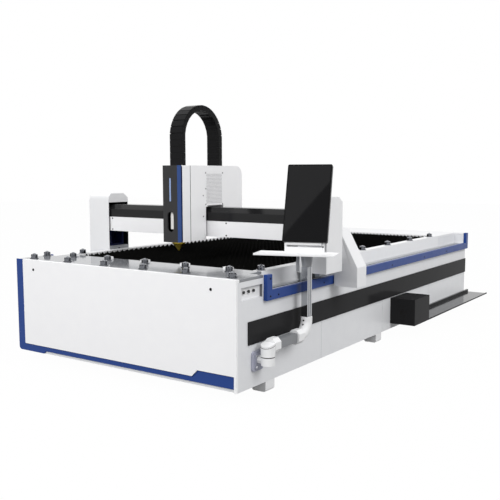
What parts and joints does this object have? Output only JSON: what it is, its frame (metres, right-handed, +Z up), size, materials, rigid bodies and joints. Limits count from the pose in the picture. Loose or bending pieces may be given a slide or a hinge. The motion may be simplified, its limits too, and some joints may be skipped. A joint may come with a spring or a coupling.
{
  "type": "fiber laser cutting machine",
  "caption": "Open flatbed laser cutting machine: sawtooth slat table with transfer balls, travelling gantry, cutting head under an arched energy chain, swing-arm console",
  "frame": {"origin": "On the floor, in the middle of the corner feet's bolt holes", "axes": "+Y runs along the bed from the front cover to the rear, +X to the console side, +Z up"},
  "size_m": [2.7174, 4.62, 2.06],
  "materials": {
    "white_paint": "satin",
    "blue_paint": "satin",
    "black_gloss": "gloss",
    "deck_paint": "satin",
    "slat_steel": "matte",
    "cup_steel": "satin",
    "ball_steel": "polished",
    "rail_steel": "ground",
    "plate_aluminium": "satin",
    "lamp_green": "gloss",
    "button_plastic": "gloss",
    "trough_steel": "gloss",
    "casting_paint": "satin",
    "beam_aluminium": "satin",
    "riser_paint": "satin",
    "head_black": "satin",
    "strip_acrylic": "gloss",
    "chain_plastic": "matte",
    "barrel_steel": "satin",
    "nozzle_brass": "satin",
    "arm_paint": "satin",
    "screen_plastic": "satin",
    "screen_glass": "gloss"
  },
  "bodies": {
    "bed": {"bed_frame": "white_paint", "levelling_feet": "white_paint", "front_cover": "white_paint", "front_trim": "blue_paint", "front_deck": "deck_paint", "rear_deck": "deck_paint", "left_rim": "white_paint", "right_rim": "white_paint", "support_slats": "slat_steel", "slat_bearers": "slat_steel", "ball_cups": "cup_steel", "transfer_balls": "ball_steel", "left_side_trim": "blue_paint", "right_side_trim": "blue_paint", "left_side_band": "black_gloss", "right_side_band": "black_gloss", "left_guide_rail": "rail_steel", "right_guide_rail": "rail_steel", "left_rack": "rail_steel", "right_rack": "rail_steel", "button_plate": "plate_aluminium", "pilot_lamp": "lamp_green", "chain_trough": "trough_steel", "trough_box": "black_gloss", "swivel_base": "casting_paint"},
    "gantry": {"beam": "beam_aluminium", "beam_cover": "black_gloss", "beam_panel": "white_paint", "left_end_housing": "white_paint", "right_end_housing": "white_paint", "left_carriage_plate": "rail_steel", "right_carriage_plate": "rail_steel", "left_riser": "riser_paint", "right_riser": "riser_paint", "left_bearing_blocks": "rail_steel", "right_bearing_blocks": "rail_steel", "chain_arm": "white_paint", "beam_rails": "rail_steel"},
    "carriage": {"head_housing": "white_paint", "head_front_cover": "head_black", "head_side_strips": "blue_paint", "light_strip": "strip_acrylic", "vent_panels": "white_paint", "saddle_blocks": "rail_steel", "lift_rails": "rail_steel", "energy_chain": "chain_plastic"},
    "cutting_head": {"head_barrel": "barrel_steel", "lift_plate": "beam_aluminium", "nozzle_cone": "nozzle_brass"},
    "stand_arm": {"swivel_head": "casting_paint", "swing_arm": "arm_paint", "stand_elbow": "casting_paint", "stand_post": "arm_paint"},
    "console": {"console_tray": "casting_paint", "screen_bracket": "casting_paint"},
    "screen": {"screen_housing": "screen_plastic", "screen_glass": "screen_glass"},
    "start_button": {"button_start": "button_plastic"},
    "pause_button": {"button_pause": "button_plastic"},
    "stop_button": {"button_stop": "button_plastic"}
  },
  "joints": [
    {"name": "gantry_travel", "type": "slide", "parent": "bed", "child": "gantry", "axis": [0, 1, 0], "range_m": [0, 3.05]},
    {"name": "carriage_travel", "type": "slide", "parent": "gantry", "child": "carriage", "axis": [1, 0, 0], "range_m": [-0.8, 0.73]},
    {"name": "head_lift", "type": "slide", "parent": "carriage", "child": "cutting_head", "axis": [0, 0, 1], "range_m": [-0.065, 0.035]},
    {"name": "base_swivel", "type": "hinge", "parent": "bed", "child": "stand_arm", "pos_m": [1.193, -1.959, 0.293], "axis": [0, 0, 1], "range_deg": [-100, 0]},
    {"name": "console_swivel", "type": "hinge", "parent": "stand_arm", "child": "console", "pos_m": [1.193, -1.45, 0.936], "axis": [0, 0, 1], "range_deg": [-20, 20]},
    {"name": "screen_tilt", "type": "hinge", "parent": "console", "child": "screen", "pos_m": [1.19003, -1.44045, 1.008], "axis": [0.9548, 0.2974, 0], "range_deg": [-5, 8]},
    {"name": "start_press", "type": "slide", "parent": "bed", "child": "start_button", "axis": [-1, 0, 0], "range_m": [0, 0.005], "stiffness_N_per_m": 600},
    {"name": "pause_press", "type": "slide", "parent": "bed", "child": "pause_button", "axis": [-1, 0, 0], "range_m": [0, 0.005], "stiffness_N_per_m": 600},
    {"name": "stop_press", "type": "slide", "parent": "bed", "child": "stop_button", "axis": [-1, 0, 0], "range_m": [0, 0.005], "stiffness_N_per_m": 600}
  ]
}
